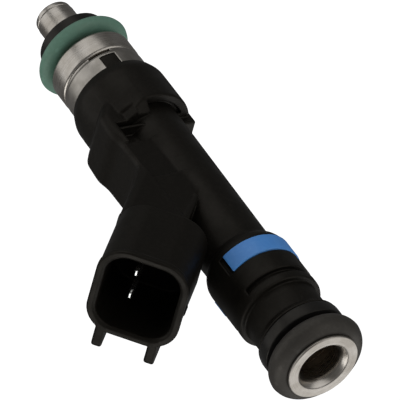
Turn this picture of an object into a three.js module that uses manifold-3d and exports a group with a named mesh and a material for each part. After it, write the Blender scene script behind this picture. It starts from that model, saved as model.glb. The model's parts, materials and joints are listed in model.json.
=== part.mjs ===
// Port fuel injector with an angled two-pin connector, built from its separate pieces.
// Millimetres. +Z runs along the injector axis from the spray end (z = 0) to the fuel inlet.
// +X is the connector side, and the XZ plane is the plane of symmetry.
import * as THREE from 'three';
import { mergeVertices } from 'three/addons/utils/BufferGeometryUtils.js';
import Module from 'manifold-3d';

// ---------------------------------------------------------------- driving dimensions
// Seal rings: outside radius, section width across the ring and along it, height of the centre.
const INLET_SEAL = { radius: 7.3, across: 3.53, along: 3.53, z: 76.63 };
const NOZZLE_SEAL = { radius: 7.2, across: 3.2, along: 2.2, z: 9.3 };
const INLET_FACE_Z = 78.95;       // fuel inlet end

const NOSE_RADIUS = 2.95;         // slim tip in front of the lower seal
const STEEL_RADIUS = 6.4;         // valve body head and magnet housing
const SHOULDER_Z = 11.4;          // valve body head starts here
const RETAINER_RADIUS = 5.3;      // washer that holds the nozzle seal
const RETAINER_Z = [5.85, 8.15];
const JOINT_Z = 15.15;            // valve body meets the magnet housing
const HOUSING_Z = [15.25, 26.3];
const COVER_Z = 25.75;            // washer that closes the magnet housing
const WINDOW_ANGLES = [-87, -65]; // opening in the housing wall, filled with plastic
const WINDOW_TOP_Z = 22;
const WINDOW_DEPTH = 0.3;
const NOTCH_ANGLES = [-84, -52];  // pry notch in the housing's lower edge
const NOTCH_DEPTH = 0.7;

const COLLAR_RADIUS = 7.4;        // plastic collar over the magnet housing
const COLLAR_Z = [18.7, 27.6];
const PAD_Z = [25.5, 29.15];      // flat pads and side blocks on the collar
const STEM_RADIUS = [5.6, 5.25];  // slim plastic stem, tapering towards the inlet
const MOAT_ANGLES = [76, 150];    // degrees from +X, both ways
const MOAT_RADIUS = 6.15;
const HEAD_RADIUS = 6.45;         // plastic head around the inlet end
const HEAD_Z = [56.9, 67.05];
const NECK_RADIUS = 5.65;
const BODY_TOP_Z = 72.25;

const BAND_Z = [57.9, 61.1];      // seat of the colour clip
const BAND_GAP = [-34, 46];       // the clip's opening, degrees from +X
const SLOT_Z = [64.7, 65.7];

const TUBE_RADIUS = 3.65;         // steel inlet tube
const TUBE_BORE = 3.2;
const SLEEVE_RADIUS = 3.5;        // thin non-magnetic sleeve around the armature
const SLEEVE_BORE = 3.1;
const SLEEVE_Z = [11.7, 30.0];

const BOBBIN_Z = [16.6, 25.65];
const WINDING_Z = [17.35, 24.85];

const LIFT_GAP = 0.1;             // between armature and pole core, valve closed
const ARMATURE_Z = [12.3, 19.0];
const BALL_RADIUS = 1.5;
const BALL_Z = 2.35;
const NEEDLE_RADIUS = 1.0;
const SPRING_Z = [15.2, 24.1];
const SPRING_RADIUS = 1.1;
const SPRING_WIRE = 0.36;
const SPRING_TURNS = 7;

const TILT = THREE.MathUtils.degToRad(44);    // connector axis, from +Z towards +X
const RIM = new THREE.Vector3(19.2, 0, 59.33);  // centre of the connector mouth
const SHROUD = { w: 13.1, h: 14.5, r: 4.3 };    // outline behind the rim
const RIM_LIP = { w: 13.42, h: 14.77, r: 4.5 };
const SOCKET = { w: 10.9, h: 12.3, r: 3.3 };
const SHROUD_LENGTH = 11.8;
const SOCKET_DEPTH = 11.6;
const PIN_SPACING = 4.1;
const PIN_OFFSET = 1.39;          // blades sit off the mouth's centre, away from the stem
const PIN_WIDTH = 1.5;
const PIN_THICKNESS = 0.64;
const PIN_RECESS = 2.95;          // blade tips behind the rim
const ARM_HALF = 5.0;
const WEB_HALF = 4.6;

const GAP = 0.05;                 // assembly gap between nested pieces
const FINE = 40;                  // segments around a visible round piece
const COARSE = 24;                // segments around a hidden round piece

// ---------------------------------------------------------------- solid helpers
const wasm = await Module();
wasm.setup();

function signedVolume(geometry) {
  const p = geometry.attributes.position;
  const index = geometry.index.array;
  const [a, b, c] = [new THREE.Vector3(), new THREE.Vector3(), new THREE.Vector3()];
  let sum = 0;
  for (let i = 0; i < index.length; i += 3) {
    a.fromBufferAttribute(p, index[i]);
    b.fromBufferAttribute(p, index[i + 1]);
    c.fromBufferAttribute(p, index[i + 2]);
    sum += a.dot(b.cross(c));
  }
  return sum / 6;
}

// One closed skin with shared vertices, no empty triangles, faces pointing out.
function weld(source) {
  const bare = source.clone();
  bare.deleteAttribute('normal');
  bare.deleteAttribute('uv');
  const merged = mergeVertices(bare, 1e-4);
  const old = merged.index.array;
  const kept = [];
  for (let i = 0; i < old.length; i += 3) {
    const [a, b, c] = old.slice(i, i + 3);
    if (a !== b && b !== c && c !== a) kept.push(a, b, c);
  }
  merged.setIndex(kept);
  if (signedVolume(merged) < 0) merged.setIndex(kept.reverse());
  return merged;
}

function solid(geometry) {
  const skin = weld(geometry);
  const vertProperties = new Float32Array(skin.attributes.position.array);
  const triVerts = new Uint32Array(skin.index.array);
  return new wasm.Manifold(new wasm.Mesh({ numProp: 3, vertProperties, triVerts }));
}

function fuse(...geometries) {
  return geometries.map(solid).reduce((whole, next) => whole.add(next));
}

function cut(body, ...tools) {
  return tools.map(solid).reduce((rest, tool) => rest.subtract(tool), body);
}

function skinOf(body) {
  const mesh = body.getMesh();
  const geometry = new THREE.BufferGeometry();
  geometry.setAttribute('position', new THREE.BufferAttribute(mesh.vertProperties, 3));
  geometry.setIndex(new THREE.BufferAttribute(mesh.triVerts, 1));
  geometry.computeVertexNormals();
  return geometry;
}

// ---------------------------------------------------------------- shape helpers
// Outline points are [x, y] or [x, y, rounding]; a rounded corner becomes a short curve.
function rounded(points, steps = 2) {
  const count = points.length;
  const corners = points.map(([x, y]) => new THREE.Vector2(x, y));
  return points.flatMap(([, , size = 0], i) => {
    const at = corners[i];
    if (size === 0) return [at];
    const before = corners[(i + count - 1) % count].clone().sub(at).setLength(size).add(at);
    const after = corners[(i + 1) % count].clone().sub(at).setLength(size).add(at);
    return new THREE.QuadraticBezierCurve(before, at, after).getPoints(steps);
  });
}

// Solid or ring of revolution about Z from an outline of [radius, z, rounding].
function revolve(points, segments = FINE) {
  const outline = rounded(points);
  return new THREE.LatheGeometry([...outline, outline[0]], segments).rotateX(Math.PI / 2);
}

function ring(inner, outer, z0, z1, segments = COARSE, rounding = 0) {
  const r = rounding;
  return revolve([[inner, z0], [outer, z0, r], [outer, z1, r], [inner, z1]], segments);
}

function disc(radius, z0, z1, segments = COARSE) {
  return revolve([[0, z0], [radius, z0], [radius, z1], [0, z1]], segments);
}

function sealRing({ radius, across, along, z }) {
  const sides = 12;
  return revolve(Array.from({ length: sides }, (_, i) => {
    const angle = i / sides * 2 * Math.PI;
    return [radius - across / 2 * (1 - Math.cos(angle)), z + along / 2 * Math.sin(angle)];
  }));
}

function block([x0, x1], [y0, y1], [z0, z1]) {
  const box = new THREE.BoxGeometry(x1 - x0, y1 - y0, z1 - z0);
  return box.translate((x0 + x1) / 2, (y0 + y1) / 2, (z0 + z1) / 2);
}

// Plate parallel to the XZ plane, cut to an outline of [x, z, rounding].
function plate(points, y0, y1, bevel = 0) {
  const shape = new THREE.Shape(rounded(points));
  const geometry = new THREE.ExtrudeGeometry(shape, {
    depth: y1 - y0 - 2 * bevel,
    bevelEnabled: bevel > 0,
    bevelThickness: bevel,
    bevelSize: bevel,
    bevelOffset: -bevel,
    bevelSegments: 2,
  });
  return geometry.translate(0, 0, -y1 + bevel).rotateX(Math.PI / 2);
}

// Wedge of pie about Z, angles in degrees from +X.
function wedge(from, to, radius, z0, z1) {
  const [a, b] = [from, to].map(THREE.MathUtils.degToRad);
  const shape = new THREE.Shape();
  shape.moveTo(0, 0);
  shape.lineTo(radius * Math.cos(a), radius * Math.sin(a));
  shape.absarc(0, 0, radius, a, b, false);
  shape.closePath();
  const options = { depth: z1 - z0, bevelEnabled: false, curveSegments: 24 };
  return new THREE.ExtrudeGeometry(shape, options).translate(0, 0, z0);
}

function rectangleOutline({ w, h, r }, steps = 5) {
  const points = [[w / 2, -h / 2, r], [w / 2, h / 2, r], [-w / 2, h / 2, r], [-w / 2, -h / 2, r]];
  return rounded(points, steps);
}

// Skin stretched over a stack of rounded rectangles {w, h, r, at} along Z.
function loft(sections) {
  const rings = sections.map((section) => rectangleOutline(section));
  const count = rings[0].length;
  const positions = rings.flatMap((points, k) => points.flatMap((p) => [p.x, p.y, sections[k].at]));
  positions.push(0, 0, sections[0].at, 0, 0, sections.at(-1).at);
  const bottom = rings.length * count;
  const last = (rings.length - 1) * count;
  const index = [];
  for (let i = 0; i < count; i++) {
    const j = (i + 1) % count;
    index.push(bottom, j, i, bottom + 1, last + i, last + j);
    for (let k = 0; k < last; k += count) {
      index.push(k + i, k + j, k + count + j, k + i, k + count + j, k + count + i);
    }
  }
  const geometry = new THREE.BufferGeometry();
  geometry.setAttribute('position', new THREE.Float32BufferAttribute(positions, 3));
  geometry.setIndex(index);
  return geometry;
}

function mirrored(geometry) {
  return geometry.clone().scale(1, -1, 1);
}

// ---------------------------------------------------------------- connector frame
// Local z points out of the mouth, local x away from the stem, local y stays Y.
const connectorFrame = new THREE.Matrix4().makeRotationY(TILT).setPosition(RIM);
const outDirection = new THREE.Vector2(Math.sin(TILT), Math.cos(TILT));
const sideDirection = new THREE.Vector2(Math.cos(TILT), -Math.sin(TILT));

// A point of the XZ plane given by its connector-frame side and out distances.
function connectorPoint(side, out) {
  const at = new THREE.Vector2(RIM.x, RIM.z);
  return at.addScaledVector(outDirection, out).addScaledVector(sideDirection, side).toArray();
}

function inConnector(geometry) {
  return geometry.clone().applyMatrix4(connectorFrame);
}

// ---------------------------------------------------------------- overmold
function bodyOfRevolution() {
  const [low, high] = COLLAR_Z;
  return revolve([
    [0, low], [6.75, low, 0.2], [COLLAR_RADIUS, low + 1.7, 0.5], [COLLAR_RADIUS, high, 0.5],
    [STEM_RADIUS[0], high], [STEM_RADIUS[1], HEAD_Z[0] - 1.3, 0.3], [HEAD_RADIUS, HEAD_Z[0], 1.1],
    [HEAD_RADIUS, HEAD_Z[1], 0.2], [NECK_RADIUS, HEAD_Z[1], 0.2],
    [NECK_RADIUS, 71.1], [6.4, 71.9], [6.4, BODY_TOP_Z], [0, BODY_TOP_Z],
  ]);
}

// Shallow trench around the foot of the stem, between the side blocks and the rear tab.
function moat() {
  const depth = 0.6;
  const trench = solid(ring(STEM_RADIUS[0], MOAT_RADIUS, COLLAR_Z[1] - depth, PAD_Z[1], FINE));
  const reach = wedge(...MOAT_ANGLES, 12, 20, 40);
  return trench.intersect(fuse(reach, mirrored(reach)));
}

// Plastic that fills the opening in the housing wall.
function tongue() {
  const inset = 0.3;               // degrees clear of each side of the opening
  const [from, to] = WINDOW_ANGLES;
  const floor = STEEL_RADIUS - WINDOW_DEPTH + GAP;
  const top = WINDOW_TOP_Z - 0.1;
  const fill = solid(ring(floor, STEEL_RADIUS - GAP, 16.35, top, FINE))
    .add(solid(ring(floor, 6.9, COLLAR_Z[0] + 0.2, top, FINE)));
  return fill.intersect(solid(wedge(from + inset, to - inset, 12, 10, 30)));
}

function armOutline() {
  const shoulder = 7.96;
  const bendZ = 38.3;
  return [
    [1.0, 23.0], [4.6, 23.0], [7.0, 25.1], [8.3, 26.9, 0.6], [8.6, 30.7, 0.8], [8.05, 32.6, 0.6],
    [shoulder, bendZ, 1.5], connectorPoint(SHROUD.w / 2, -SHROUD_LENGTH),
    connectorPoint(-2.75, -SHROUD_LENGTH), connectorPoint(-2.75, -20.5), [1.0, 45.0],
  ];
}

// The arm carries the pins; its sides are dished next to the stem to keep the wall even.
function arm() {
  const pocketFloor = 3.3;
  const pocket = block([0, 6.95], [pocketFloor, 8], [PAD_Z[1], 33.2]);
  const dish = plate([[0, 33.2], [7.55, 33.2], [7.55, 41], [0, 41]], WEB_HALF, 8);
  const fade = plate([[0, 41], [7.55, 41], [7.55, 55], [0, 55]], ARM_HALF - 0.15, 8);
  const tools = [pocket, dish, fade].flatMap((tool) => [tool, mirrored(tool)]);
  return cut(solid(plate(armOutline(), -ARM_HALF, ARM_HALF, 1.3)), ...tools);
}

// Block beside the arm with a flat pad; its far end slopes down to the foot of the stem.
function sideBlock() {
  const blockAngles = [34, 80];
  const padAngle = THREE.MathUtils.degToRad(47.5);
  const padDistance = 7.08;
  const slope = THREE.MathUtils.degToRad(42);
  const slopeEdge = { x: 3.45, y: 5.75 };
  const whole = solid(ring(4.5, COLLAR_RADIUS, 22, PAD_Z[1], FINE));
  const sector = whole.intersect(solid(wedge(...blockAngles, 12, 21, 30)));
  const padCut = block([padDistance, 9], [-1.75, 1.75], [PAD_Z[0], 30]).rotateZ(padAngle);
  const slopeCut = block([0, slopeEdge.x], [0, 5], [-4, 4]).rotateX(slope)
    .translate(0, slopeEdge.y, PAD_Z[1]);
  return cut(sector, padCut, slopeCut);
}

// Side blocks, the shelf across each pocket, the crisp edge under the shroud, and the rear tab.
function blocksAndRibs() {
  const shelf = block([2.7, 6.95], [3.2, ARM_HALF - 0.05], [30.1, 30.45]);
  const edge = plate([[3.2, 45.8], connectorPoint(-2.75, -20.5), connectorPoint(-2.75, -13),
    connectorPoint(-1.6, -13)], ARM_HALF - 0.6, ARM_HALF - 0.1);
  const tab = block([-COLLAR_RADIUS - 0.05, -5], [-2.05, 2.05], [26, 28.9]);
  const side = skinOf(sideBlock());
  return fuse(side, mirrored(side), shelf, mirrored(shelf), edge, mirrored(edge), tab);
}

function shroud() {
  const lip = 0.9;
  const outer = loft([
    { w: 9.2, h: 9.6, r: 2.4, at: -SHROUD_LENGTH - 1.3 },
    { ...SHROUD, at: -SHROUD_LENGTH },
    { ...SHROUD, at: -lip },
    { ...RIM_LIP, at: -lip + 0.15 },
    { ...RIM_LIP, at: -0.25 },
    { w: RIM_LIP.w - 0.4, h: RIM_LIP.h - 0.4, r: RIM_LIP.r - 0.1, at: 0 },
  ]);
  return inConnector(outer);
}

function socket() {
  const flare = 0.35;
  return inConnector(loft([
    { ...SOCKET, at: -SOCKET_DEPTH },
    { ...SOCKET, at: -flare },
    { w: SOCKET.w + 2 * flare, h: SOCKET.h + 2 * flare, r: SOCKET.r + flare, at: 0 },
    { w: SOCKET.w + 2 * flare, h: SOCKET.h + 2 * flare, r: SOCKET.r + flare, at: 1 },
  ]));
}

// Two guide ribs with a latch wedge between them, and a small nub on the stem side.
function latchFeatures() {
  const ribX = 3.86;
  const ribHeight = 10.65;
  const half = 0.75;
  const guide = new THREE.Shape(rounded([[-9.5, 6], [0, 6], [0, ribHeight, 1.1], [-7.6, ribHeight, 0.8]]));
  const wedgeSide = new THREE.Shape([[-6.2, 6.5], [-1.6, 6.5], [-1.6, 7.4], [-5.2, 8.7], [-6.2, 8.7]]
    .map(([z, y]) => new THREE.Vector2(z, y)));
  const along = (shape, width, x) => new THREE.ExtrudeGeometry(shape, { depth: width, bevelEnabled: false })
    .translate(0, 0, -width / 2).rotateY(-Math.PI / 2).translate(x, 0, 0);
  const pieces = [along(guide, 2 * half, ribX), along(guide, 2 * half, -ribX), along(wedgeSide, 3.2, 0)];
  pieces.push(block([-6.9, -6.4], [-0.3, 0.3], [-2.2, -0.3]));
  return fuse(...pieces.map(inConnector));
}

function pinOutline(grow = 0) {
  const t = PIN_THICKNESS / 2 + grow;
  const runX = 6.9;
  const tip = -PIN_RECESS + grow;
  const footZ = 28.45;
  const bendOut = (runX - connectorPoint(PIN_OFFSET, 0)[0]) / Math.sin(TILT);
  const slant = t * Math.tan(TILT / 2);
  return [
    [4.0 - grow, footZ - t], [runX + t, footZ - t],
    connectorPoint(PIN_OFFSET + t, bendOut + slant), connectorPoint(PIN_OFFSET + t, tip - 0.6),
    connectorPoint(PIN_OFFSET + 0.45 * t, tip), connectorPoint(PIN_OFFSET - 0.45 * t, tip),
    connectorPoint(PIN_OFFSET - t, tip - 0.6), connectorPoint(PIN_OFFSET - t, bendOut - slant),
    [runX - t, footZ + t], [4.0 - grow, footZ + t],
  ];
}

function pinSlab(side, grow = 0) {
  const middle = side * PIN_SPACING / 2;
  const half = PIN_WIDTH / 2 + grow;
  return plate(pinOutline(grow), middle - half, middle + half);
}

function clipSeat() {
  const seat = solid(ring(5.9, 9, ...BAND_Z, FINE));
  const [from, to] = BAND_GAP;
  const overlap = 7;               // degrees of seat beyond each end of the clip
  return seat.subtract(solid(wedge(from + overlap, to - overlap, 12, 50, 70)));
}

function headSlot() {
  const slot = solid(ring(5.75, 9, ...SLOT_Z, FINE));
  const bridge = 31;               // half of the solid part on the connector side, degrees
  return slot.subtract(solid(wedge(-bridge, bridge, 12, 60, 70)));
}

function overmoldBody() {
  const housingSeat = disc(STEEL_RADIUS + GAP, 18, HOUSING_Z[1] + GAP, FINE);
  const tubeHole = disc(TUBE_RADIUS + GAP, 20, 80, FINE);
  const postRoom = block([3, 5.75], [-3.3, 3.3], [26, 28.9]);
  const outside = solid(bodyOfRevolution()).add(arm()).add(blocksAndRibs()).add(solid(shroud()))
    .add(latchFeatures());
  const trimmed = outside.subtract(clipSeat()).subtract(headSlot()).subtract(moat());
  const pinRoom = 0.12;
  const hollow = cut(trimmed, housingSeat, tubeHole, postRoom, socket(),
    pinSlab(1, pinRoom), pinSlab(-1, pinRoom));
  return hollow.add(tongue());
}

// ---------------------------------------------------------------- steel pieces
function valveBody() {
  const bore = 2.35;
  const neck = NOZZLE_SEAL.radius - NOZZLE_SEAL.across - GAP;
  const seatRadius = 3.3;
  const seatTop = RETAINER_Z[1] + 0.02;
  return revolve([
    [bore, 0], [NOSE_RADIUS - 0.12, 0, 0.1], [NOSE_RADIUS - 0.06, 0.72], [NOSE_RADIUS - 0.14, 0.78],
    [NOSE_RADIUS, 0.95], [NOSE_RADIUS, RETAINER_Z[0] - GAP], [seatRadius, RETAINER_Z[0] - GAP],
    [seatRadius, seatTop], [neck, seatTop], [neck, SHOULDER_Z], [STEEL_RADIUS, SHOULDER_Z, 0.5],
    [STEEL_RADIUS, JOINT_Z - 0.2, 0.2], [STEEL_RADIUS - 0.25, JOINT_Z], [SLEEVE_RADIUS + GAP, JOINT_Z],
    [SLEEVE_RADIUS + GAP, 11.6], [bore, 11.6],
  ]);
}

function magnetHousing() {
  const [low, high] = HOUSING_Z;
  const lip = 1.1;
  const wall = 5.45;
  const groove = 0.12;
  const shell = solid(revolve([
    [SLEEVE_RADIUS + GAP, low], [STEEL_RADIUS - groove, low, 0.05], [STEEL_RADIUS - groove, low + 0.45],
    [STEEL_RADIUS, low + 0.65, 0.12], [STEEL_RADIUS, high], [wall, high], [wall, low + lip],
    [SLEEVE_RADIUS + GAP, low + lip],
  ]));
  const window = solid(ring(STEEL_RADIUS - WINDOW_DEPTH, 8, low + 1, WINDOW_TOP_Z, FINE))
    .intersect(solid(wedge(...WINDOW_ANGLES, 12, 10, 30)));
  const notch = solid(ring(STEEL_RADIUS - NOTCH_DEPTH, 8, low - 1, low + 0.4, FINE))
    .intersect(solid(wedge(...NOTCH_ANGLES, 12, 10, 30)));
  return shell.subtract(window).subtract(notch);
}

function magnetCover() {
  const plateRing = solid(ring(TUBE_RADIUS + GAP, 5.4, COVER_Z, HOUSING_Z[1] - GAP));
  return cut(plateRing, block([3, 7], [-3.1, 3.1], [COVER_Z - 1, COVER_Z + 1]));
}

function inletTube() {
  const top = INLET_FACE_Z;
  return revolve([
    [TUBE_BORE, SLEEVE_Z[1] + GAP], [TUBE_RADIUS, SLEEVE_Z[1] + GAP], [TUBE_RADIUS, 78.45, 0.1],
    [5.5, 78.45, 0.15], [5.5, top, 0.2], [4.75, top], [4.65, top - 0.08], [4.55, top],
    [3.95, top, 0.3], [TUBE_BORE, 77.9, 0.5],
  ]);
}

function spring() {
  class Helix extends THREE.Curve {
    getPoint(t, target = new THREE.Vector3()) {
      const ends = 1.2;
      const angle = t * SPRING_TURNS * 2 * Math.PI;
      const inner = THREE.MathUtils.clamp((t * SPRING_TURNS - ends) / (SPRING_TURNS - 2 * ends), 0, 1);
      const closed = SPRING_WIRE * 1.08 * (t * SPRING_TURNS - inner * (SPRING_TURNS - 2 * ends));
      const open = inner * (SPRING_Z[1] - SPRING_Z[0] - SPRING_WIRE * (1 + 1.08 * 2 * ends));
      const z = SPRING_Z[0] + SPRING_WIRE / 2 + closed + open;
      return target.set(SPRING_RADIUS * Math.cos(angle), SPRING_RADIUS * Math.sin(angle), z);
    }
  }
  const wire = new THREE.Shape().absarc(0, 0, SPRING_WIRE / 2, 0, 2 * Math.PI, false);
  const steps = SPRING_TURNS * 12;
  const options = { extrudePath: new Helix(), steps, curveSegments: 3, bevelEnabled: false };
  return new THREE.ExtrudeGeometry(wire, options);
}

function poleCore() {
  const bore = 1.55;
  const bottom = ARMATURE_Z[1] + LIFT_GAP;
  const radius = SLEEVE_BORE - 0.02;
  return ringWithChamfer(bore, radius, bottom, SLEEVE_Z[1] - 0.1);
}

function ringWithChamfer(inner, outer, z0, z1, chamfer = 0.2) {
  return revolve([
    [inner, z0], [outer - chamfer, z0], [outer, z0 + chamfer], [outer, z1 - chamfer],
    [outer - chamfer, z1], [inner, z1],
  ], COARSE);
}

function armatureBody() {
  const [low, high] = ARMATURE_Z;
  const radius = SLEEVE_BORE - 0.05;
  const shell = solid(revolve([
    [NEEDLE_RADIUS + 0.02, low], [radius - 0.4, low], [radius, low + 0.4], [radius, high - 0.3],
    [radius - 0.3, high], [1.5, high], [1.5, SPRING_Z[0] - 0.1], [NEEDLE_RADIUS + 0.02, SPRING_Z[0] - 0.1],
  ], COARSE));
  const flats = [0, 90, 180, 270].map((angle) => block([radius - 0.25, 4], [-0.8, 0.8], [low - 1, high + 1])
    .rotateZ(THREE.MathUtils.degToRad(angle)));
  return cut(shell, ...flats);
}

function needleTube() {
  const [low, high] = [BALL_Z + 1.22, SPRING_Z[0] - 0.3];
  const tube = solid(ring(0.62, NEEDLE_RADIUS, low, high));
  const ports = [0, 90].map((angle) => new THREE.CylinderGeometry(0.28, 0.28, 3, 12)
    .rotateX(Math.PI / 2).rotateZ(THREE.MathUtils.degToRad(angle)).translate(0, 0, low + 1.4));
  return cut(tube, ...ports);
}

function valveBall() {
  const flatZ = 1.2;
  const from = -Math.PI / 2;
  const to = Math.asin(flatZ / BALL_RADIUS);
  const arc = Array.from({ length: 13 }, (_, i) => {
    const angle = from + (to - from) * i / 12;
    return [i === 0 ? 0 : BALL_RADIUS * Math.cos(angle), BALL_Z + BALL_RADIUS * Math.sin(angle)];
  });
  return revolve([...arc, [0, BALL_Z + flatZ]], COARSE);
}

function valveSeat() {
  const outer = 2.3;
  const cone = (r) => r + 0.2;     // seat cone, just under the closed ball
  return revolve([
    [0.6, 0.3], [outer, 0.3], [outer, 1.8], [1.6, cone(1.6)], [0.6, cone(0.6)],
  ], COARSE);
}

function ballGuide() {
  const guide = solid(ring(BALL_RADIUS + 0.03, 2.3, 1.88, 3.1));
  const notches = [0, 90, 180, 270].map((angle) => block([1.2, 1.95], [-0.4, 0.4], [1, 4])
    .rotateZ(THREE.MathUtils.degToRad(angle + 45)));
  return cut(guide, ...notches);
}

function orificePlate() {
  const holes = [45, 135, 225, 315].map((angle) => new THREE.CylinderGeometry(0.1, 0.1, 2, 8)
    .rotateX(Math.PI / 2).translate(0.43, 0, 0).rotateZ(THREE.MathUtils.degToRad(angle)));
  return cut(solid(disc(2.3, 0, 0.27)), ...holes);
}

// ---------------------------------------------------------------- plastic, copper and rubber
function colourClip() {
  const band = solid(ring(5.95, 6.62, BAND_Z[0] + GAP, BAND_Z[1] - GAP, FINE, 0.1));
  return band.subtract(solid(wedge(...BAND_GAP, 12, 50, 70)));
}

function bobbin() {
  const hub = SLEEVE_RADIUS + GAP;
  const barrel = 4.0;
  const flange = 5.35;
  const [low, high] = WINDING_Z;
  const spool = solid(revolve([
    [hub, BOBBIN_Z[0]], [flange, BOBBIN_Z[0]], [flange, low - GAP], [barrel, low - GAP],
    [barrel, high + GAP], [flange, high + GAP], [flange, BOBBIN_Z[1]], [hub, BOBBIN_Z[1]],
  ], COARSE));
  return spool.add(solid(block([3.8, 4.6], [-2.85, 2.85], [BOBBIN_Z[1] - 0.2, 28.0])));
}

function winding() {
  const turns = 6;
  const [low, high] = WINDING_Z;
  const pitch = (high - low) / turns;
  const ridges = Array.from({ length: turns }, (_, i) => [
    [4.95, low + pitch * i], [5.15, low + pitch * (i + 0.5)],
  ]).flat();
  return revolve([[4.03, low], ...ridges, [4.95, high], [4.03, high]], COARSE);
}

function filterFrame() {
  const outer = TUBE_BORE - 0.03;
  const rim = solid(ring(2.3, outer, 69.6, 71.2));
  const foot = solid(disc(1.75, 60.4, 61.2));
  const bars = [0, 90, 180, 270].map((angle) => block([1.45, 2.45], [-0.3, 0.3], [60.6, 69.9])
    .rotateZ(THREE.MathUtils.degToRad(angle)));
  return bars.map(solid).reduce((whole, bar) => whole.add(bar), rim.add(foot));
}

function filterMesh() {
  return revolve([[0, 61.3], [1.32, 61.3], [1.38, 69.5], [1.26, 69.5], [1.2, 61.45], [0, 61.45]], COARSE);
}

// ---------------------------------------------------------------- assembly
const injector = new THREE.Group();

function add(name, shape, color, roughness, metalness) {
  const geometry = shape.isBufferGeometry ? weld(shape) : skinOf(shape);
  const material = new THREE.MeshStandardMaterial({ color, roughness, metalness });
  const mesh = new THREE.Mesh(geometry, material);
  mesh.name = name;
  injector.add(mesh);
}

add('overmold_body', overmoldBody(), 0x1b1b1c, 0.55, 0);
add('colour_clip', colourClip(), 0x4a80bc, 0.45, 0);
add('terminal_pin_a', pinSlab(-1), 0xd0d0cc, 0.25, 1);
add('terminal_pin_b', pinSlab(1), 0xd0d0cc, 0.25, 1);
add('inlet_tube', inletTube(), 0xb8b6b0, 0.3, 1);
add('inlet_o_ring', sealRing(INLET_SEAL), 0x2e2c2b, 0.6, 0);
add('inlet_support_ring', ring(TUBE_RADIUS + GAP, 6.5, 72.35, 74.3, FINE, 0.2), 0x141414, 0.4, 0);
add('filter_frame', filterFrame(), 0x9a8468, 0.5, 0);
add('filter_mesh', filterMesh(), 0xb4b0a6, 0.5, 1);
add('adjusting_sleeve', ring(0.9, 1.5, SPRING_Z[1] + 0.1, 29.2), 0xb0ada6, 0.35, 1);
add('return_spring', spring(), 0x9b9a98, 0.3, 1);
add('pole_core', poleCore(), 0x9a9894, 0.4, 1);
add('valve_sleeve', ring(SLEEVE_BORE, SLEEVE_RADIUS, ...SLEEVE_Z), 0xbab7b0, 0.3, 1);
add('coil_bobbin', bobbin(), 0x3a3326, 0.6, 0);
add('coil_winding', winding(), 0xa65a2a, 0.4, 1);
add('magnet_cover', magnetCover(), 0x8f8d89, 0.45, 1);
add('magnet_housing', magnetHousing(), 0xaaa59b, 0.3, 1);
add('valve_body', valveBody(), 0xb0aaa0, 0.3, 1);
add('o_ring_retainer', ring(3.35, RETAINER_RADIUS, ...RETAINER_Z, FINE, 0.15), 0x2a2826, 0.5, 0);
add('nozzle_o_ring', sealRing(NOZZLE_SEAL), 0x486b5c, 0.55, 0);
add('armature', armatureBody(), 0x8d8b88, 0.4, 1);
add('needle_tube', needleTube(), 0xa9a7a2, 0.3, 1);
add('valve_ball', valveBall(), 0xc8c8c8, 0.12, 1);
add('ball_guide', ballGuide(), 0x9c9a95, 0.35, 1);
add('valve_seat', valveSeat(), 0xa19f9a, 0.3, 1);
add('orifice_plate', orificePlate(), 0xbdbab2, 0.3, 1);

export default injector;
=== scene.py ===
"""Looks of a port fuel injector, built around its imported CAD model.

Shapes are worked out in millimetres in the part's own frame: +Z along the injector axis towards
the fuel inlet, +X towards the connector. Blender gets them in metres.
"""
import json
import math

import bpy
import numpy as np
from mathutils import Matrix, Vector


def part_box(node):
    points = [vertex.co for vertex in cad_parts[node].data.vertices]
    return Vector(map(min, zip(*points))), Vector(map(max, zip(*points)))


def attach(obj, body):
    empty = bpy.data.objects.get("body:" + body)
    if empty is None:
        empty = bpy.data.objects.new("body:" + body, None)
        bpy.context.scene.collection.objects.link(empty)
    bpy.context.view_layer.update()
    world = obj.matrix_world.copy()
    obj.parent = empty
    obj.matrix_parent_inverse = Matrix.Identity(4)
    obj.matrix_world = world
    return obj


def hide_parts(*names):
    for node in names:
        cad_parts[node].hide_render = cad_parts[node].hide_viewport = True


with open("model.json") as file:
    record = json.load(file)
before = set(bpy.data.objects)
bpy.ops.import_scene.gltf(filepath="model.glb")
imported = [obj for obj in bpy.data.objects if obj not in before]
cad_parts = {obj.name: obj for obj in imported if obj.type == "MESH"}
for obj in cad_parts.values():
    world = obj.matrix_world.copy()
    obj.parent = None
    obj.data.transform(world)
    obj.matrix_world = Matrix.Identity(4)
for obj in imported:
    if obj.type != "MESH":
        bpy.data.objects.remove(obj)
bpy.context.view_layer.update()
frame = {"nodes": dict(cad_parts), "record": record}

MM = 0.001
BODY = "injector_body"
SEGMENTS = 160                   # round a lathed piece
MOULD_STEP = 0.16    # grid step of the moulded body
CAN_STEP = 0.1      # grid step of the steel can


# ---------------------------------------------------------------- sizes from the frame
def span(node):
    """Radius, lowest z and highest z of a round CAD node, in millimetres."""
    low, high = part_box(node)
    return (high.y - low.y) / 2 / MM, low.z / MM, high.z / MM


def extent(node):
    """Lowest and highest corner of a CAD node, in millimetres."""
    return [np.array(corner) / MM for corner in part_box(node)]


STEEL_RADIUS, HOUSING_LOW, HOUSING_HIGH = span("magnet_housing")
VALVE_TOP = span("valve_body")[2]
TUBE_TOP = span("inlet_tube")[2]
BODY_TOP = span("overmold_body")[2]
CLIP_RADIUS, CLIP_LOW, CLIP_HIGH = span("colour_clip")
SUPPORT_RADIUS, SUPPORT_LOW, SUPPORT_HIGH = span("inlet_support_ring")
RETAINER_RADIUS, RETAINER_LOW, RETAINER_HIGH = span("o_ring_retainer")
PLATE_RADIUS, _, PLATE_TOP = span("orifice_plate")
FILTER_RADIUS, FILTER_LOW, FILTER_HIGH = span("filter_frame")

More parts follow.
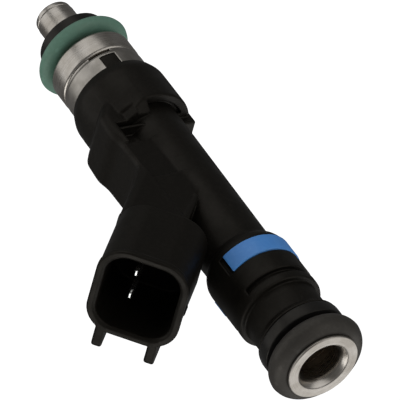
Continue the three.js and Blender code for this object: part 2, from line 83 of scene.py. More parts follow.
NOSE_RADIUS = 2.95
SHOULDER_Z = 11.4
COLLAR_RADIUS = 7.4
COLLAR_LOW, COLLAR_HIGH = 18.7, 27.6
MOAT_DEPTH, MOAT_RADIUS = 0.6, 6.15
MOAT_ANGLES = (76, 150)                         # degrees from +X, both ways
WINDOW = (-87, -65)                             # opening in the housing wall, degrees from +X
NOTCH = (-84, -52)                              # pry notch in the housing's lower edge
WINDOW_TOP, WINDOW_DEPTH, NOTCH_DEPTH = 22, 0.3, 0.7
PAD_LOW, PAD_HIGH = 25.5, 29.15
PAD_ANGLE, PAD_DISTANCE, PAD_HALF = 47.5, 7.08, 1.75
BLOCK_ANGLES, BLOCK_END = (34, 80), 79          # the end is rounded towards the foot of the stem
SLOPE, SLOPE_X, SLOPE_Y = 42, 3.45, 5.75        # slanted end of the block, slope in degrees
STEM_LOW_RADIUS, STEM_HIGH_RADIUS = 5.6, 5.25
HEAD_RADIUS, HEAD_LOW, HEAD_HIGH = 6.45, 56.9, 67.05
NECK_RADIUS = 5.65
TUBE_RADIUS, TUBE_BORE, FLANGE_RADIUS = 3.65, 3.2, 5.5
SLEEVE_SEAT_RADIUS = 3.55        # hole in the steel for the sleeve round the armature
CAN_BORE = 5.45
CLIP_BORE, SEAT_RADIUS = 5.95, 5.9
SEAT_LOW, SEAT_HIGH = CLIP_LOW - 0.05, CLIP_HIGH + 0.05
BAND_GAP = (-34, 46)                            # the clip's opening, degrees from +X
SLOT_LOW, SLOT_HIGH = 64.7, 65.7

TILT = math.radians(44)          # connector axis, from +Z towards +X
RIM_X, RIM_Z = 19.2, 59.33       # centre of the connector mouth
SHROUD = (13.1, 14.5, 4.3)       # width, height, corner radius
SOCKET = (10.9, 12.3, 3.2)
RIM_LIP = 0.16                   # the mouth's lip stands out by this much
SHROUD_LENGTH = 11.8
SOCKET_DEPTH = 11.6
ARM_HALF = 5.0
ARM_BACK, ARM_END = -2.75, -20.5  # the arm's stem side and its inner end, along the connector's axes
PIN_SPACING, PIN_OFFSET, PIN_RECESS = 4.1, 1.39, 2.95
PIN_WIDTH, PIN_THICKNESS, PIN_ROOM = 1.5, 0.64, 0.12


# ---------------------------------------------------------------- distance fields
def round_corners(points, steps=6):
    """Outline of (a, b) or (a, b, size) points with each sized corner made a short curve."""
    corners = [np.array(p[:2], float) for p in points]
    outline = []
    for i, point in enumerate(points):
        at = corners[i]
        if len(point) == 2:
            outline.append(tuple(at))
            continue
        before, after = corners[i - 1] - at, corners[(i + 1) % len(points)] - at
        start = at + before / np.linalg.norm(before) * point[2]
        end = at + after / np.linalg.norm(after) * point[2]
        for t in np.linspace(0, 1, steps):
            outline.append(tuple((1 - t) ** 2 * start + 2 * t * (1 - t) * at + t * t * end))
    return outline


def polygon(points, u, v):
    """Distance from (u, v) to a closed outline, negative inside."""
    nearest, inside = np.inf, False
    for (au, av), (bu, bv) in zip(points, points[1:] + points[:1]):
        eu, ev = bu - au, bv - av
        wu, wv = u - au, v - av
        t = np.clip((wu * eu + wv * ev) / (eu * eu + ev * ev), 0, 1)
        nearest = np.minimum(nearest, (wu - eu * t) ** 2 + (wv - ev * t) ** 2)
        if ev != 0:
            inside = inside ^ (((av > v) != (bv > v)) & (wu < eu * wv / ev))
    return np.where(inside, -1, 1) * np.sqrt(nearest)


def union(a, b, size=0.0):
    """Both shapes; size is the fillet between them."""
    if size == 0:
        return np.minimum(a, b)
    h = np.clip(0.5 + 0.5 * (b - a) / size, 0, 1)
    return b + (a - b) * h - size * h * (1 - h)


def cut(a, b, size=0.0):
    """Shape a without b; size rounds the cut's edges."""
    return -union(-a, b, size)


def common(a, b, size=0.0):
    return -union(-a, -b, size)


def corner(du, dv, radius=0.0):
    """Common part of two distances taken across each other, with a rounded edge."""
    u, v = du + radius, dv + radius
    return np.minimum(np.maximum(u, v), 0) + np.hypot(np.maximum(u, 0), np.maximum(v, 0)) - radius


def between(value, low, high):
    return np.abs(value - (low + high) / 2) - (high - low) / 2


def box(u, v, w, sizes, radius=0.0):
    """Box from three (low, high) pairs."""
    flat = corner(between(u, *sizes[0]), between(v, *sizes[1]), radius)
    return corner(flat, between(w, *sizes[2]), radius)


def rounded_rectangle(u, v, width, height, radius):
    a, b = np.abs(u) - width / 2 + radius, np.abs(v) - height / 2 + radius
    return np.minimum(np.maximum(a, b), 0) + np.hypot(np.maximum(a, 0), np.maximum(b, 0)) - radius


def sector(x, y, start, stop):
    """Wedge about Z between two angles in degrees, less than half a turn apart."""
    a, b = math.radians(start), math.radians(stop)
    return np.maximum(x * math.sin(a) - y * math.cos(a), y * math.cos(b) - x * math.sin(b))


def connector_point(side, out):
    """(x, z) of a point given by its distances to the side and out of the mouth."""
    return (RIM_X + side * math.cos(TILT) + out * math.sin(TILT),
            RIM_Z - side * math.sin(TILT) + out * math.cos(TILT))


def connector_axes(x, z):
    dx, dz = x - RIM_X, z - RIM_Z
    return dx * math.cos(TILT) - dz * math.sin(TILT), dx * math.sin(TILT) + dz * math.cos(TILT)


# ---------------------------------------------------------------- skin of a field
def skin(name, field, low, high, step):
    """Mesh of field < 0 inside a box, with one point in each grid cell that the surface crosses."""
    axes = [np.arange(a - 2 * step, b + 3 * step, step) for a, b in zip(low, high)]
    values = field(*np.meshgrid(*axes, indexing="ij", sparse=True)).astype(np.float32)
    inside = values < 0
    shape = [n - 1 for n in inside.shape]
    offsets = [(i, j, k) for i in (0, 1) for j in (0, 1) for k in (0, 1)]
    window = [tuple(slice(o, o + n) for o, n in zip(offset, shape)) for offset in offsets]
    full = sum(inside[w].astype(np.int8) for w in window)
    cells = np.argwhere((full > 0) & (full < 8))
    index = np.full(shape, -1, np.int32)
    index[tuple(cells.T)] = np.arange(len(cells))

    corners = np.stack([values[tuple((cells + o).T)] for o in offsets], axis=1)
    total, hits = np.zeros((len(cells), 3)), np.zeros(len(cells))
    for a, first in enumerate(offsets):
        for b, second in enumerate(offsets):
            if b > a and sum(abs(p - q) for p, q in zip(first, second)) == 1:
                da, db = corners[:, a], corners[:, b]
                crossed = (da < 0) != (db < 0)
                t = np.where(crossed, da / np.where(crossed, da - db, 1), 0)[:, None]
                point = np.array(first) * (1 - t) + np.array(second) * t
                total += point * crossed[:, None]
                hits += crossed
    points = (cells + total / hits[:, None]) * step + [a[0] for a in axes]
    points = settle(field, points, step)

    faces = []
    for axis in range(3):
        ahead = [slice(1, n) for n in shape]
        ahead[axis] = slice(0, shape[axis])
        here = tuple(ahead)
        ahead[axis] = slice(1, shape[axis] + 1)
        change = inside[here].astype(np.int8) - inside[tuple(ahead)]
        at = np.argwhere(change != 0)
        sign = change[tuple(at.T)]
        at += np.array([0 if i == axis else 1 for i in range(3)])
        u, v = np.eye(3, dtype=int)[(axis + 1) % 3], np.eye(3, dtype=int)[(axis + 2) % 3]
        ring = np.stack([index[tuple((at - d).T)] for d in (u + v, v, 0 * u, u)], axis=1)
        ring[sign < 0] = ring[sign < 0][:, ::-1]
        faces.append(ring)
    return make_mesh(name, points, np.concatenate(faces))


def settle(field, points, step, rounds=2):
    """Moves points onto the surface along its slope, by at most half a step."""
    reach = step / 4
    for _ in range(rounds):
        x, y, z = points.T
        value = field(x, y, z)
        slope = np.stack([
            field(x + reach, y, z) - field(x - reach, y, z),
            field(x, y + reach, z) - field(x, y - reach, z),
            field(x, y, z + reach) - field(x, y, z - reach),
        ], axis=1) / (2 * reach)
        size = np.maximum((slope ** 2).sum(axis=1), 0.3)
        move = slope * (value / size)[:, None]
        points = points - np.clip(move, -step / 2, step / 2)
    return points


def make_mesh(name, points, faces):
    mesh = bpy.data.meshes.new(name)
    mesh.vertices.add(len(points))
    mesh.vertices.foreach_set("co", (np.asarray(points) * MM).astype(np.float32).ravel())
    mesh.loops.add(faces.size)
    mesh.loops.foreach_set("vertex_index", faces.astype(np.int32).ravel())
    mesh.polygons.add(len(faces))
    mesh.polygons.foreach_set("loop_start", np.arange(0, faces.size, faces.shape[1], dtype=np.int32))
    mesh.update(calc_edges=True)
    mesh.validate()
    mesh.shade_smooth()
    piece = bpy.data.objects.new(name, mesh)
    bpy.context.scene.collection.objects.link(piece)
    return piece


def lathe(name, outline, segments=SEGMENTS):
    """Ring turned from a closed outline of (radius, z) or (radius, z, rounding)."""
    points = np.array(round_corners(outline))
    count = len(points)
    angles = np.arange(segments) * 2 * math.pi / segments
    x = points[:, 0] * np.cos(angles)[:, None]
    y = points[:, 0] * np.sin(angles)[:, None]
    z = np.broadcast_to(points[:, 1], x.shape)
    i, k = np.meshgrid(np.arange(segments), np.arange(count), indexing="ij")
    after, up = (i + 1) % segments, (k + 1) % count
    faces = np.stack([i * count + k, after * count + k, after * count + up, i * count + up], axis=-1)
    piece = make_mesh(name, np.stack([x, y, z], axis=-1).reshape(-1, 3), faces.reshape(-1, 4))
    piece.data.set_sharp_from_angle(angle=math.radians(35))
    return piece


def install(piece, node, material):
    """The piece stands for a CAD node and takes the finish of its slot."""
    piece.data.materials.clear()
    piece.data.materials.append(material)
    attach(piece, BODY)
    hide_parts(node)
    return piece


# ---------------------------------------------------------------- moulded body
def stem_and_head():
    low_z = COLLAR_HIGH - MOAT_DEPTH
    return round_corners([
        (0, COLLAR_LOW + 1), (STEM_LOW_RADIUS, COLLAR_LOW + 1), (STEM_LOW_RADIUS, low_z),
        (STEM_HIGH_RADIUS, HEAD_LOW - 1.3, 0.4), (HEAD_RADIUS, HEAD_LOW, 1.1),
        (HEAD_RADIUS, HEAD_HIGH, 0.3), (NECK_RADIUS, HEAD_HIGH, 0.2), (NECK_RADIUS, BODY_TOP - 1.15, 0.3),
        (SUPPORT_RADIUS - 0.1, BODY_TOP - 0.35, 0.2), (SUPPORT_RADIUS - 0.1, BODY_TOP), (0, BODY_TOP),
    ], steps=4)


def collar():
    return round_corners([
        (0, COLLAR_LOW), (COLLAR_RADIUS - 0.65, COLLAR_LOW, 0.3), (COLLAR_RADIUS, COLLAR_LOW + 1.7, 0.6),
        (COLLAR_RADIUS, COLLAR_HIGH, 0.45), (0, COLLAR_HIGH),
    ], steps=4)


def moat_field(x, half, z, r):
    """Shallow trench around the foot of the stem, between the side blocks and the rear tab."""
    middle = (STEM_LOW_RADIUS + MOAT_RADIUS) / 2
    trench = np.abs(r - middle) - (MOAT_RADIUS - STEM_LOW_RADIUS) / 2
    trench = corner(trench, between(z, COLLAR_HIGH - MOAT_DEPTH, PAD_HIGH), 0.1)
    return np.maximum(trench, sector(x, half, *MOAT_ANGLES))


def tongue_field(x, y, z, r):
    """Plastic that fills the opening in the housing wall."""
    low = np.maximum(np.abs(r - STEEL_RADIUS + WINDOW_DEPTH) - 0.27,
                     between(z, HOUSING_LOW + 1.1, WINDOW_TOP - 0.1))
    high = np.maximum(np.abs(r - 6.5) - 0.35, between(z, COLLAR_LOW + 0.2, WINDOW_TOP - 0.1))
    return np.maximum(np.minimum(low, high), sector(x, y, WINDOW[0] + 0.3, WINDOW[1] - 0.3))


def arm_outline():
    return round_corners([
        (1, 23), (4.6, 23), (7, 25.1, 0.5), (8.3, 26.9, 0.6), (8.6, 30.7, 0.8), (8.05, 32.6, 0.6),
        (7.96, 38.3, 1.5), connector_point(SHROUD[0] / 2, -SHROUD_LENGTH),
        connector_point(ARM_BACK, -SHROUD_LENGTH), connector_point(ARM_BACK, ARM_END), (1, 45),
    ], steps=5)


def arm_field(x, half, z):
    """Arm that carries the pins, with dished sides next to the stem; half is the distance from y = 0."""
    solid = corner(polygon(arm_outline(), x, z), half - ARM_HALF, 1.3)
    pocket = box(x, half, z, [(0, 6.95), (3.3, 8), (PAD_HIGH, 33.2)], 0.1)
    dish = box(x, half, z, [(0, 7.55), (4.6, 8), (33.2, 41)], 0.1)
    fade = box(x, half, z, [(0, 7.55), (ARM_HALF - 0.15, 8), (41, 55)], 0.1)
    return cut(cut(cut(solid, pocket, 0.1), dish, 0.12), fade, 0.1)


def side_block_field(x, half, z, r):
    """Blocks beside the arm with their flat pads, the shelf in each pocket and the edge under the shroud."""
    ring = corner(r - COLLAR_RADIUS, between(z, 22, PAD_HIGH), 0.12)
    block = common(common(ring, 4.5 - r), sector(x, half, *BLOCK_ANGLES), 0.12)
    far_end = math.radians(BLOCK_END)
    block = common(block, half * math.cos(far_end) - x * math.sin(far_end), 0.7)
    turn = math.radians(PAD_ANGLE)
    along, across = x * math.cos(turn) + half * math.sin(turn), half * math.cos(turn) - x * math.sin(turn)
    pad = box(along, across, z, [(PAD_DISTANCE, 9), (-PAD_HALF, PAD_HALF), (PAD_LOW, 31)])
    tilt = math.radians(SLOPE)
    slope = (SLOPE_Y - half) * math.cos(tilt) - (z - PAD_HIGH) * math.sin(tilt)
    slope = np.maximum(slope, x - SLOPE_X)
    block = cut(cut(block, slope, 0.25), pad, 0.06)
    shelf = box(x, half, z, [(2.7, 6.95), (2.5, ARM_HALF - 0.05), (30.1, 30.45)], 0.12)
    edge = polygon([(3.2, 45.8), connector_point(ARM_BACK, ARM_END), connector_point(ARM_BACK, -13),
                    connector_point(-1.6, -13)], x, z)
    edge = corner(edge, between(half, ARM_HALF - 0.6, ARM_HALF - 0.05), 0.25)
    return union(union(block, shelf, 0.1), edge)


def shroud_field(side, half, out):
    width, height, radius = SHROUD
    lip = RIM_LIP * np.clip((out + 0.95) / 0.12, 0, 1)
    back = np.clip(-(out + SHROUD_LENGTH) / 1.3, 0, 1)
    wall = rounded_rectangle(side, half, width + 2 * lip - 3.9 * back, height + 2 * lip - 4.9 * back,
                             radius - 1.9 * back)
    solid = corner(wall, between(out, -SHROUD_LENGTH - 1.3, 0), 0.25)
    return np.where(back > 0, solid * 0.55, solid)


def socket_field(side, half, out):
    width, height, radius = SOCKET
    flare = np.clip(out + 0.35, 0, 1)
    wall = rounded_rectangle(side, half, width + 2 * flare, height + 2 * flare, radius + flare)
    return corner(wall, -SOCKET_DEPTH - out, 0.3)


def latch_field(side, y, out):
    """Two guide ribs with a latch wedge between them on the +Y side, and a nub on the stem side."""
    guide = round_corners([(-9.5, 6), (0, 6), (0, 10.65, 1.2), (-7.6, 10.65, 0.9)])
    wedge = [(-6.2, 6.5), (-1.6, 6.5), (-1.6, 7.4), (-5.2, 8.7), (-6.2, 8.7)]
    ribs = corner(polygon(guide, out, y), np.abs(np.abs(side) - 3.86) - 0.75, 0.35)
    latch = corner(polygon(wedge, out, y), np.abs(side) - 1.6, 0.15)
    nub = box(side, y, out, [(-6.9, -6.4), (-0.3, 0.3), (-2.2, -0.3)], 0.15)
    return union(union(ribs, latch), nub)


def pin_outline(grow=0.0):
    t, run_x, foot_z, foot_x = PIN_THICKNESS / 2 + grow, 6.9, 28.45, 4.0 - grow
    tip = -PIN_RECESS + grow
    bend = (run_x - connector_point(PIN_OFFSET, 0)[0]) / math.sin(TILT)
    slant = t * math.tan(TILT / 2)
    return [
        (foot_x, foot_z - t), (run_x + t, foot_z - t), connector_point(PIN_OFFSET + t, bend + slant),
        connector_point(PIN_OFFSET + t, tip - 0.6), connector_point(PIN_OFFSET + 0.45 * t, tip),
        connector_point(PIN_OFFSET - 0.45 * t, tip), connector_point(PIN_OFFSET - t, tip - 0.6),
        connector_point(PIN_OFFSET - t, bend - slant), (run_x - t, foot_z + t), (foot_x, foot_z + t),
    ]


def overmold_field(x, y, z):
    r, half = np.hypot(x, y), np.abs(y)
    side, out = connector_axes(x, z)
    turned = union(polygon(stem_and_head(), r, z), polygon(collar(), r, z), 0.1)
    seat = np.maximum(np.maximum(between(z, SEAT_LOW, SEAT_HIGH), SEAT_RADIUS - r),
                      -sector(x, y, BAND_GAP[0] + 7, BAND_GAP[1] - 7))
    slot = np.maximum(np.maximum(between(z, SLOT_LOW, SLOT_HIGH), 5.75 - r), -sector(x, y, -31, 31))
    turned = cut(cut(turned, seat, 0.15), slot, 0.12)
    turned = cut(turned, moat_field(x, half, z, r), 0.12)
    solid = union(turned, arm_field(x, half, z), 0.25)
    solid = union(solid, side_block_field(x, half, z, r), 0.12)
    tab = box(x, half, z, [(-COLLAR_RADIUS - 0.05, -5), (-1, 2.05), (26, 28.9)], 0.25)
    solid = union(solid, tab, 0.25)
    solid = union(solid, shroud_field(side, half, out), 0.5)
    solid = union(solid, latch_field(side, y, out), 0.25)
    solid = cut(solid, socket_field(side, half, out), 0.2)
    channel = np.maximum(polygon(pin_outline(PIN_ROOM), x, z),
                         np.abs(half - PIN_SPACING / 2) - PIN_WIDTH / 2 - PIN_ROOM)
    solid = cut(solid, channel)
    seat_bore = np.maximum(r - STEEL_RADIUS - 0.05, z - HOUSING_HIGH - 0.05)
    tube_bore = r - TUBE_RADIUS - 0.05
    return union(cut(cut(solid, seat_bore), tube_bore), tongue_field(x, y, z, r))


def make_overmold():
    return skin("moulded_body", overmold_field, *extent("overmold_body"), MOULD_STEP)


# ---------------------------------------------------------------- small moulded and pressed pieces
def make_clip():
    def field(x, y, z):
        r = np.hypot(x, y)
        band = corner(np.abs(r - (CLIP_RADIUS + CLIP_BORE) / 2) - (CLIP_RADIUS - CLIP_BORE) / 2,
                      between(z, CLIP_LOW, CLIP_HIGH), 0.12)
        gap = sector(x, y, *BAND_GAP)
        return common(band, -gap, 0.3)
    return skin("colour_band", field, *extent("colour_clip"), 0.12)


def make_pin(name, node):
    low, high = extent(node)
    middle = (low[1] + high[1]) / 2
    outline = pin_outline()

    def field(x, y, z):
        blade = corner(polygon(outline, x, z), np.abs(y - middle) - PIN_WIDTH / 2, 0.1)
        side, out = connector_axes(x, z)
        point = np.abs(y - middle) - PIN_WIDTH / 2 + (out + PIN_RECESS + 0.6) * 0.5
        return common(blade, point * 0.9, 0.08)
    return skin(name, field, low, high, 0.09)


# ---------------------------------------------------------------- turned pieces
def seal_outline(node, across=None):
    """Seal section with the mould's fine flash line inside and out; round unless across is given."""
    radius, low, high = span(node)
    along = (high - low) / 2
    across = along if across is None else across / 2
    flash = 0.03
    outline = []
    for angle in np.linspace(0, 2 * math.pi, 72, endpoint=False):
        ridge = flash * sum(math.exp(-(math.remainder(angle - at, 2 * math.pi) / 0.05) ** 2)
                            for at in (0.0, math.pi))
        outline.append((radius - across + (across + ridge - flash) * math.cos(angle),
                        (low + high) / 2 + (along + ridge - flash) * math.sin(angle)))
    return outline


def inlet_tube_outline():
    return [
        (TUBE_BORE, 30.05), (TUBE_RADIUS, 30.05), (TUBE_RADIUS, TUBE_TOP - 0.5, 0.15),
        (FLANGE_RADIUS, TUBE_TOP - 0.5, 0.15), (FLANGE_RADIUS, TUBE_TOP, 0.22),
        (4.8, TUBE_TOP), (4.65, TUBE_TOP - 0.045, 0.1), (4.5, TUBE_TOP),
        (3.95, TUBE_TOP, 0.35), (TUBE_BORE, TUBE_TOP - 1.05, 0.6),
    ]


def make_housing():
    outline = round_corners([
        (SLEEVE_SEAT_RADIUS, HOUSING_LOW), (STEEL_RADIUS - 0.12, HOUSING_LOW, 0.12),
        (STEEL_RADIUS - 0.12, HOUSING_LOW + 0.45, 0.1), (STEEL_RADIUS, HOUSING_LOW + 0.65, 0.25),
        (STEEL_RADIUS, HOUSING_HIGH), (CAN_BORE, HOUSING_HIGH), (CAN_BORE, HOUSING_LOW + 1.1),
        (SLEEVE_SEAT_RADIUS, HOUSING_LOW + 1.1),
    ])

    def field(x, y, z):
        r = np.hypot(x, y)
        window = np.maximum(sector(x, y, *WINDOW), between(z, HOUSING_LOW + 1, WINDOW_TOP))
        window = np.maximum(window, STEEL_RADIUS - WINDOW_DEPTH - r)
        notch = np.maximum(sector(x, y, *NOTCH), z - HOUSING_LOW - 0.4)
        notch = np.maximum(notch, STEEL_RADIUS - NOTCH_DEPTH - r)
        return cut(cut(polygon(outline, r, z), window, 0.05), notch, 0.08)
    return skin("magnet_can", field, *extent("magnet_housing"), CAN_STEP)


def valve_body_outline():
    bore = PLATE_RADIUS + 0.05
    neck = span("nozzle_o_ring")[0] - 3.25
    return [
        (bore, 0, 0.04), (NOSE_RADIUS - 0.12, 0, 0.15), (NOSE_RADIUS - 0.06, 0.72, 0.05),
        (NOSE_RADIUS - 0.16, 0.8, 0.04), (NOSE_RADIUS, 0.97, 0.06), (NOSE_RADIUS, RETAINER_LOW - 0.05),
        (3.3, RETAINER_LOW - 0.05), (3.3, RETAINER_HIGH), (neck, RETAINER_HIGH + 0.02),
        (neck, SHOULDER_Z, 0.1), (STEEL_RADIUS, SHOULDER_Z, 0.5), (STEEL_RADIUS, VALVE_TOP - 0.2, 0.25),
        (STEEL_RADIUS - 0.25, VALVE_TOP), (SLEEVE_SEAT_RADIUS, VALVE_TOP), (SLEEVE_SEAT_RADIUS, 11.6),
        (bore, 11.6),
    ]


def make_orifice_plate():
    """Disc with four spray holes."""
    def field(x, y, z):
        disc = corner(np.hypot(x, y) - PLATE_RADIUS, between(z, 0, PLATE_TOP), 0.03)
        spots = 0.43 * math.sqrt(0.5)
        return cut(disc, np.hypot(np.abs(x) - spots, np.abs(y) - spots) - 0.1, 0.02)
    return skin("spray_plate", field, *extent("orifice_plate"), 0.05)


def make_filter_cage():
    """Strainer cage: top ring, foot and four bars."""
    def field(x, y, z):
        r = np.hypot(x, y)
        rim = corner(np.abs(r - (2.3 + FILTER_RADIUS) / 2) - (FILTER_RADIUS - 2.3) / 2,
                     between(z, FILTER_HIGH - 1.6, FILTER_HIGH), 0.12)
        foot = corner(r - 1.75, between(z, FILTER_LOW, FILTER_LOW + 0.8), 0.1)
        across, along = np.minimum(np.abs(x), np.abs(y)), np.maximum(np.abs(x), np.abs(y))
        bars = box(along, across, z, [(1.45, 2.45), (-0.3, 0.3), (FILTER_LOW + 0.2, FILTER_HIGH - 1.3)], 0.08)
        return union(union(rim, foot), bars, 0.1)
    return skin("filter_cage", field, *extent("filter_frame"), 0.12)


def filter_mesh_outline():
    _, low, high = span("filter_mesh")
    floor = low + 0.15
    return [(0.01, low), (1.32, low, 0.1), (1.38, high), (1.26, high), (1.2, floor, 0.08), (0.01, floor)]


def support_ring_outline():
    return [
        (3.7, SUPPORT_LOW), (SUPPORT_RADIUS, SUPPORT_LOW, 0.2), (SUPPORT_RADIUS, SUPPORT_HIGH, 0.2),
        (3.7, SUPPORT_HIGH),
    ]


def retainer_outline():
    return [
        (3.35, RETAINER_LOW), (RETAINER_RADIUS, RETAINER_LOW, 0.15), (RETAINER_RADIUS, RETAINER_HIGH, 0.15),
        (3.35, RETAINER_HIGH),
    ]


# ---------------------------------------------------------------- materials
def new_material(name, color, roughness, metallic=0.0):
    material = bpy.data.materials.new(name)
    material.use_nodes = True
    nodes, links = material.node_tree.nodes, material.node_tree.links
    shader = nodes["Principled BSDF"]
    shader.inputs["Base Color"].default_value = (*color, 1)
    shader.inputs["Roughness"].default_value = roughness
    shader.inputs["Metallic"].default_value = metallic
    place = nodes.new("ShaderNodeTexCoord").outputs["Object"]
    return material, nodes, links, shader, place


def noise(nodes, links, place, scale, detail=3.0):
    node = nodes.new("ShaderNodeTexNoise")
    node.inputs["Scale"].default_value = scale
    node.inputs["Detail"].default_value = detail
    links.new(place, node.inputs["Vector"])
    return node.outputs["Fac"]


def spread(nodes, links, factor, low, high, start=0.35, stop=0.65):
    """Turns a 0 to 1 factor into low to high."""
    node = nodes.new("ShaderNodeMapRange")
    for socket, value in zip(("From Min", "From Max", "To Min", "To Max"), (start, stop, low, high)):
        node.inputs[socket].default_value = value
    links.new(factor, node.inputs["Value"])
    return node.outputs["Result"]


def tint(nodes, links, factor, dark, light):
    node = nodes.new("ShaderNodeMix")
    node.data_type = "RGBA"
    node.inputs["A"].default_value = (*dark, 1)
    node.inputs["B"].default_value = (*light, 1)
    links.new(factor, node.inputs["Factor"])
    return node.outputs["Result"]


def bump(nodes, links, shader, height, strength, distance):
    node = nodes.new("ShaderNodeBump")
    node.inputs["Strength"].default_value = strength
    node.inputs["Distance"].default_value = distance
    links.new(height, node.inputs["Height"])
    links.new(node.outputs["Normal"], shader.inputs["Normal"])


def moulded(name, dark, light, rough_low, rough_high, grain=5000, specular=0.5):
    """Moulded plastic or rubber: mottled gloss, fine grain and slightly paler edges."""
    material, nodes, links, shader, place = new_material(name, dark, rough_high)
    shader.inputs["Specular IOR Level"].default_value = specular
    shader.inputs["Specular Tint"].default_value = (1, 0.92, 0.8, 1)
    patches = noise(nodes, links, place, 350)
    links.new(spread(nodes, links, patches, rough_low, rough_high), shader.inputs["Roughness"])
    edges = nodes.new("ShaderNodeNewGeometry").outputs["Pointiness"]
    worn = spread(nodes, links, edges, 0, 1, 0.5, 0.6)
    flecks = spread(nodes, links, noise(nodes, links, place, 1800, 5), 0, 0.6, 0.45, 0.75)
    both = nodes.new("ShaderNodeMath")
    both.operation = "MAXIMUM"
    links.new(worn, both.inputs[0])
    links.new(flecks, both.inputs[1])
    links.new(tint(nodes, links, both.outputs[0], dark, light), shader.inputs["Base Color"])
    bump(nodes, links, shader, noise(nodes, links, place, grain, 4), 0.25, 0.00003)
    return material


def turned_steel(name, dark, light, rough_low, rough_high, depth=0.5):
    """Turned metal: fine rings around the axis, faint stains."""
    material, nodes, links, shader, place = new_material(name, light, rough_low, 1.0)
    shader.inputs["Anisotropic"].default_value = 0.4
    apart = nodes.new("ShaderNodeSeparateXYZ")
    links.new(place, apart.inputs[0])
    flat = nodes.new("ShaderNodeCombineXYZ")
    links.new(apart.outputs["X"], flat.inputs["X"])
    links.new(apart.outputs["Y"], flat.inputs["Y"])
    length = nodes.new("ShaderNodeVectorMath")
    length.operation = "LENGTH"
    links.new(flat.outputs[0], length.inputs[0])
    rings = nodes.new("ShaderNodeCombineXYZ")
    links.new(length.outputs["Value"], rings.inputs["X"])
    links.new(apart.outputs["Z"], rings.inputs["Z"])
    lines = noise(nodes, links, rings.outputs[0], 7000, 2)
    stains = noise(nodes, links, place, 500, 4)
    links.new(spread(nodes, links, lines, rough_low, rough_high), shader.inputs["Roughness"])
    stained = tint(nodes, links, spread(nodes, links, stains, 0, 1), dark, light)
    links.new(stained, shader.inputs["Base Color"])
    bump(nodes, links, shader, lines, depth, 0.000008)
    return material


MATERIALS = {
    "black_plastic": moulded("black_plastic", (0.0062, 0.0054, 0.0042), (0.0125, 0.011, 0.0088), 0.4, 0.54,
                             specular=0.17),
    "support_plastic": moulded("support_plastic", (0.009, 0.009, 0.009), (0.02, 0.019, 0.018), 0.3, 0.42,
                               specular=0.25),
    "blue_plastic": moulded("blue_plastic", (0.095, 0.35, 0.9), (0.13, 0.42, 0.95), 0.38, 0.5),
    "bobbin_plastic": moulded("bobbin_plastic", (0.1, 0.075, 0.05), (0.14, 0.11, 0.08), 0.5, 0.6),
    "filter_plastic": moulded("filter_plastic", (0.28, 0.21, 0.14), (0.36, 0.28, 0.2), 0.4, 0.55),
    "black_rubber": moulded("black_rubber", (0.034, 0.0315, 0.0285), (0.06, 0.056, 0.051), 0.5, 0.66, 3500),
    "green_rubber": moulded("green_rubber", (0.15, 0.3, 0.225), (0.2, 0.38, 0.29), 0.45, 0.6, 3500),
    "stainless_steel": turned_steel("stainless_steel", (0.38, 0.35, 0.31), (0.5, 0.47, 0.43), 0.24, 0.34,
                                    0.3),
    "housing_steel": turned_steel("housing_steel", (0.3, 0.28, 0.25), (0.42, 0.395, 0.36), 0.3, 0.4, 0.3),
    "magnet_steel": turned_steel("magnet_steel", (0.4, 0.38, 0.36), (0.5, 0.48, 0.46), 0.35, 0.45),
    "ball_steel": turned_steel("ball_steel", (0.6, 0.6, 0.6), (0.68, 0.68, 0.68), 0.08, 0.12, 0.1),
    "spring_steel": turned_steel("spring_steel", (0.36, 0.35, 0.34), (0.45, 0.45, 0.45), 0.25, 0.35),
    "terminal_tin": turned_steel("terminal_tin", (0.72, 0.72, 0.7), (0.84, 0.84, 0.82), 0.2, 0.3),
    "copper_wire": turned_steel("copper_wire", (0.5, 0.18, 0.07), (0.65, 0.26, 0.1), 0.25, 0.4),
    "filter_steel": turned_steel("filter_steel", (0.42, 0.4, 0.37), (0.55, 0.52, 0.48), 0.35, 0.5),
}


# ---------------------------------------------------------------- assembly
def dress_hidden_nodes():
    """CAD nodes that keep their own mesh get their slot's material."""
    for part in frame["record"]["subparts"]:
        node = frame["nodes"][part["node"]]
        node.data.materials.clear()
        node.data.materials.append(MATERIALS[part["material_slot"]])


def build_pieces():
    slots = {part["node"]: part["material_slot"] for part in frame["record"]["subparts"]}
    pieces = {
        "overmold_body": make_overmold(),
        "colour_clip": make_clip(),
        "terminal_pin_a": make_pin("terminal_blade_a", "terminal_pin_a"),
        "terminal_pin_b": make_pin("terminal_blade_b", "terminal_pin_b"),
        "inlet_tube": lathe("fuel_inlet_tube", inlet_tube_outline()),
        "inlet_o_ring": lathe("inlet_seal_ring", seal_outline("inlet_o_ring")),
        "inlet_support_ring": lathe("support_ring", support_ring_outline()),
        "magnet_housing": make_housing(),
        "valve_body": lathe("nozzle_body", valve_body_outline()),
        "o_ring_retainer": lathe("seal_retainer", retainer_outline()),
        "nozzle_o_ring": lathe("nozzle_seal_ring", seal_outline("nozzle_o_ring", 3.2)),
        "orifice_plate": make_orifice_plate(),
        "filter_frame": make_filter_cage(),
        "filter_mesh": lathe("filter_sleeve", filter_mesh_outline(), 64),
    }
    for node, piece in pieces.items():
        install(piece, node, MATERIALS[slots[node]])


def add_camera():
    """Long lens from above the connector side, rolled so that the inlet points down to the right."""
    right = Vector((-0.8448, -0.2227, 0.4866)).normalized()
    up = Vector((-0.1630, -0.7590, -0.6304)).normalized()
    data = bpy.data.cameras.new("camera")
    data.sensor_width = 36
    data.lens = 576.2
    data.clip_end = 10
    camera = bpy.data.objects.new("camera", data)
    turn = Matrix((right, up, right.cross(up))).transposed().to_4x4()
    camera.matrix_world = Matrix.Translation(Vector((0.4609, -0.5542, 0.5904))) @ turn
    bpy.context.scene.collection.objects.link(camera)
    bpy.context.scene.camera = camera


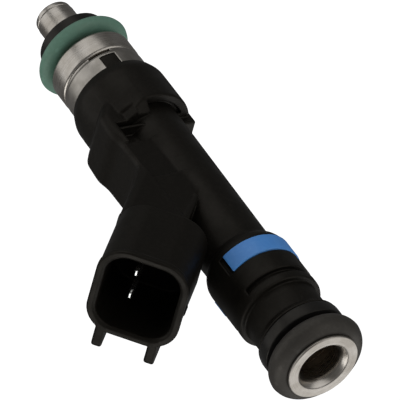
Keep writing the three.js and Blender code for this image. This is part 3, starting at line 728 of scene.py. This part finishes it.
def direction(azimuth, elevation):
    """Unit vector; azimuth is from +X towards +Y, in degrees."""
    a, e = math.radians(azimuth), math.radians(elevation)
    return Vector((math.cos(a) * math.cos(e), math.sin(a) * math.cos(e), math.sin(e)))


def add_softbox(name, azimuth, elevation, half_angle, radiance, distance=0.8):
    """Round soft light that fills a cone of that half angle, seen from the part."""
    middle = Vector((0, 0, 0.04))
    data = bpy.data.lights.new(name, "AREA")
    data.shape = "DISK"
    data.size = 2 * distance * math.tan(math.radians(half_angle))
    data.energy = radiance * math.pi * math.pi * data.size ** 2 / 4
    light = bpy.data.objects.new(name, data)
    toward = direction(azimuth, elevation)
    light.location = middle + toward * distance
    light.rotation_euler = toward.to_track_quat("Z", "Y").to_euler()
    light.visible_camera = False
    bpy.context.scene.collection.objects.link(light)


def add_floor(depth=-0.75, reach=30.0):
    """Pale floor that shows white and throws no light back on the part."""
    mesh = bpy.data.meshes.new("floor")
    corners = [(-reach, -reach, depth), (reach, -reach, depth), (reach, reach, depth), (-reach, reach, depth)]
    mesh.from_pydata(corners, [], [(0, 1, 2, 3)])
    floor = bpy.data.objects.new("floor", mesh)
    bpy.context.scene.collection.objects.link(floor)
    paper, _, _, shader, _ = new_material("paper", (0.9, 0.9, 0.9), 0.9)
    shader.inputs["Emission Color"].default_value = (1, 1, 1, 1)
    shader.inputs["Emission Strength"].default_value = 0.9
    mesh.materials.append(paper)
    floor.visible_glossy = False
    floor.visible_diffuse = False


def add_world(ambient=0.13):
    """White backdrop for the camera, dim room light for the part."""
    world = bpy.data.worlds.new("studio")
    world.use_nodes = True
    nodes, links = world.node_tree.nodes, world.node_tree.links
    path = nodes.new("ShaderNodeLightPath").outputs["Is Camera Ray"]
    links.new(spread(nodes, links, path, ambient, 1, 0, 1), nodes["Background"].inputs["Strength"])
    nodes["Background"].inputs["Color"].default_value = (1, 1, 1, 1)
    bpy.context.scene.world = world
    bpy.context.scene.view_settings.view_transform = "Standard"


def add_studio():
    add_floor()
    add_world()
    add_softbox("top_box", -76, -30, 26, 0.8)
    add_softbox("side_box", -2, -30, 30, 0.85)
    add_softbox("low_box", 130, 40, 32, 0.95)
    add_softbox("right_box", -114, 44, 30, 0.85)
    add_softbox("bottom_box", 48, 33, 20, 2.0)


dress_hidden_nodes()
build_pieces()
add_camera()
add_studio()
